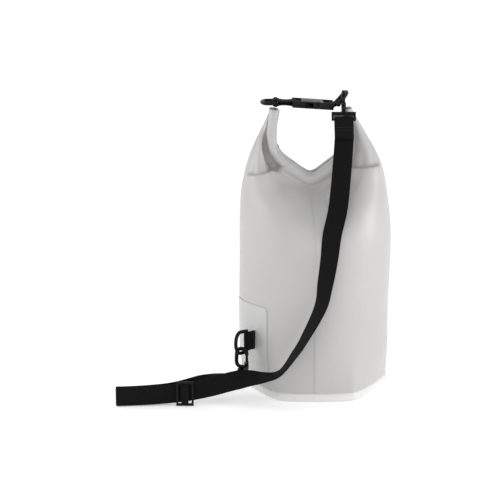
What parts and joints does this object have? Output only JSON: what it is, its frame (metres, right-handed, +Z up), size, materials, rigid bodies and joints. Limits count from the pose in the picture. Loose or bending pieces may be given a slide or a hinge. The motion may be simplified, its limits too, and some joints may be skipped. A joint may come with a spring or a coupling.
{
  "type": "dry bag",
  "caption": "Roll-top waterproof bag: welded fabric tube, rolled mouth clipped in a loop by a side-release buckle, adjustable webbing shoulder strap with snap hooks.",
  "frame": {"origin": "centre of the base panel's flat underside, on the surface the bag stands on", "axes": "+Z up, -Y the front, where the strap hangs, +X the side of the strap's upper hook; the lower anchor is at -X -Y"},
  "size_m": [0.3653, 0.2134, 0.4033],
  "materials": {
    "tarpaulin": "satin coated",
    "stiffener": "matte",
    "webbing": "woven",
    "plastic": "moulded satin",
    "pin": "plain"
  },
  "bodies": {
    "bag": {"bag_tube": "tarpaulin", "base_disc": "tarpaulin", "seam_overlap": "tarpaulin", "anchor_patch": "tarpaulin", "roll_top": "tarpaulin", "mouth_stiffener": "stiffener", "anchor_tab": "webbing", "right_tab": "webbing", "buckle_plug": "plastic", "strap_drop": "webbing", "strap_outer_run": "webbing", "strap_inner_run": "webbing"},
    "left_end": {"buckle_socket": "plastic", "left_tab": "webbing"},
    "left_ring": {"left_d_ring": "plastic"},
    "prong_front": {"buckle_prong_front": "plastic"},
    "prong_back": {"buckle_prong_back": "plastic"},
    "upper_ring": {"right_d_ring": "plastic", "upper_swivel_eye": "plastic", "strap_sewn_end": "webbing"},
    "upper_hook": {"upper_hook_body": "plastic", "upper_gate_pin": "pin"},
    "upper_gate_part": {"upper_gate": "plastic"},
    "lower_ring": {"lower_d_ring": "plastic", "lower_swivel_eye": "plastic", "strap_eye_loop": "webbing"},
    "lower_hook": {"lower_hook_body": "plastic", "lower_gate_pin": "pin"},
    "lower_gate_part": {"lower_gate": "plastic"},
    "slider": {"strap_slider": "plastic", "slider_web": "webbing"}
  },
  "joints": [
    {"name": "buckle_release", "type": "slide", "parent": "bag", "child": "left_end", "axis": [-0.9979, 0, 0.0645], "range_m": [0, 0.024]},
    {"name": "prong_front_press", "type": "hinge", "parent": "bag", "child": "prong_front", "pos_m": [0.00149, -0.01, 0.38327], "axis": [-0.0645, 0, -0.9979], "range_deg": [0, 7], "stiffness_Nm_per_rad": 0.05},
    {"name": "prong_back_press", "type": "hinge", "parent": "bag", "child": "prong_back", "pos_m": [0.00149, 0.01, 0.38327], "axis": [0.0645, 0, 0.9979], "range_deg": [0, 7], "stiffness_Nm_per_rad": 0.05},
    {"name": "left_ring_swing", "type": "hinge", "parent": "left_end", "child": "left_ring", "pos_m": [-0.0535, 0, 0.386], "axis": [0, 1, 0], "range_deg": [-30, 75]},
    {"name": "upper_ring_swing", "type": "hinge", "parent": "bag", "child": "upper_ring", "pos_m": [0.0275, 0, 0.385], "axis": [0, 1, 0], "range_deg": [-12, 15], "deforming": ["strap_drop"]},
    {"name": "upper_hook_swivel", "type": "hinge", "parent": "upper_ring", "child": "upper_hook", "pos_m": [0.0345, -0.027, 0.3674], "axis": [0, 0.45, 0.893], "range_deg": [-2, 10]},
    {"name": "upper_gate_press", "type": "hinge", "parent": "upper_hook", "child": "upper_gate_part", "pos_m": [0.0345, -0.02542, 0.3873], "axis": [-1, 0, 0], "range_deg": [0, 22], "stiffness_Nm_per_rad": 0.02},
    {"name": "lower_ring_swing", "type": "hinge", "parent": "bag", "child": "lower_ring", "pos_m": [-0.092, -0.065, 0.0765], "axis": [0, 0, 1], "range_deg": [-15, 15], "deforming": ["strap_inner_run", "strap_outer_run"]},
    {"name": "lower_hook_swivel", "type": "hinge", "parent": "lower_ring", "child": "lower_hook", "pos_m": [-0.09865, -0.07029, 0.043], "axis": [0, 0, 1], "range_deg": [-15, 15]},
    {"name": "lower_gate_press", "type": "hinge", "parent": "lower_hook", "child": "lower_gate_part", "pos_m": [-0.0919, -0.07356, 0.0495], "axis": [-0.436, -0.9, 0], "range_deg": [0, 22], "stiffness_Nm_per_rad": 0.02},
    {"name": "slider_slide", "type": "slide", "parent": "bag", "child": "slider", "axis": [-1, 0, 0], "range_m": [-0.01, 0.01]}
  ],
  "couplings": [
    {"joint": "prong_back_press", "follows": "prong_front_press", "ratio": 1}
  ]
}
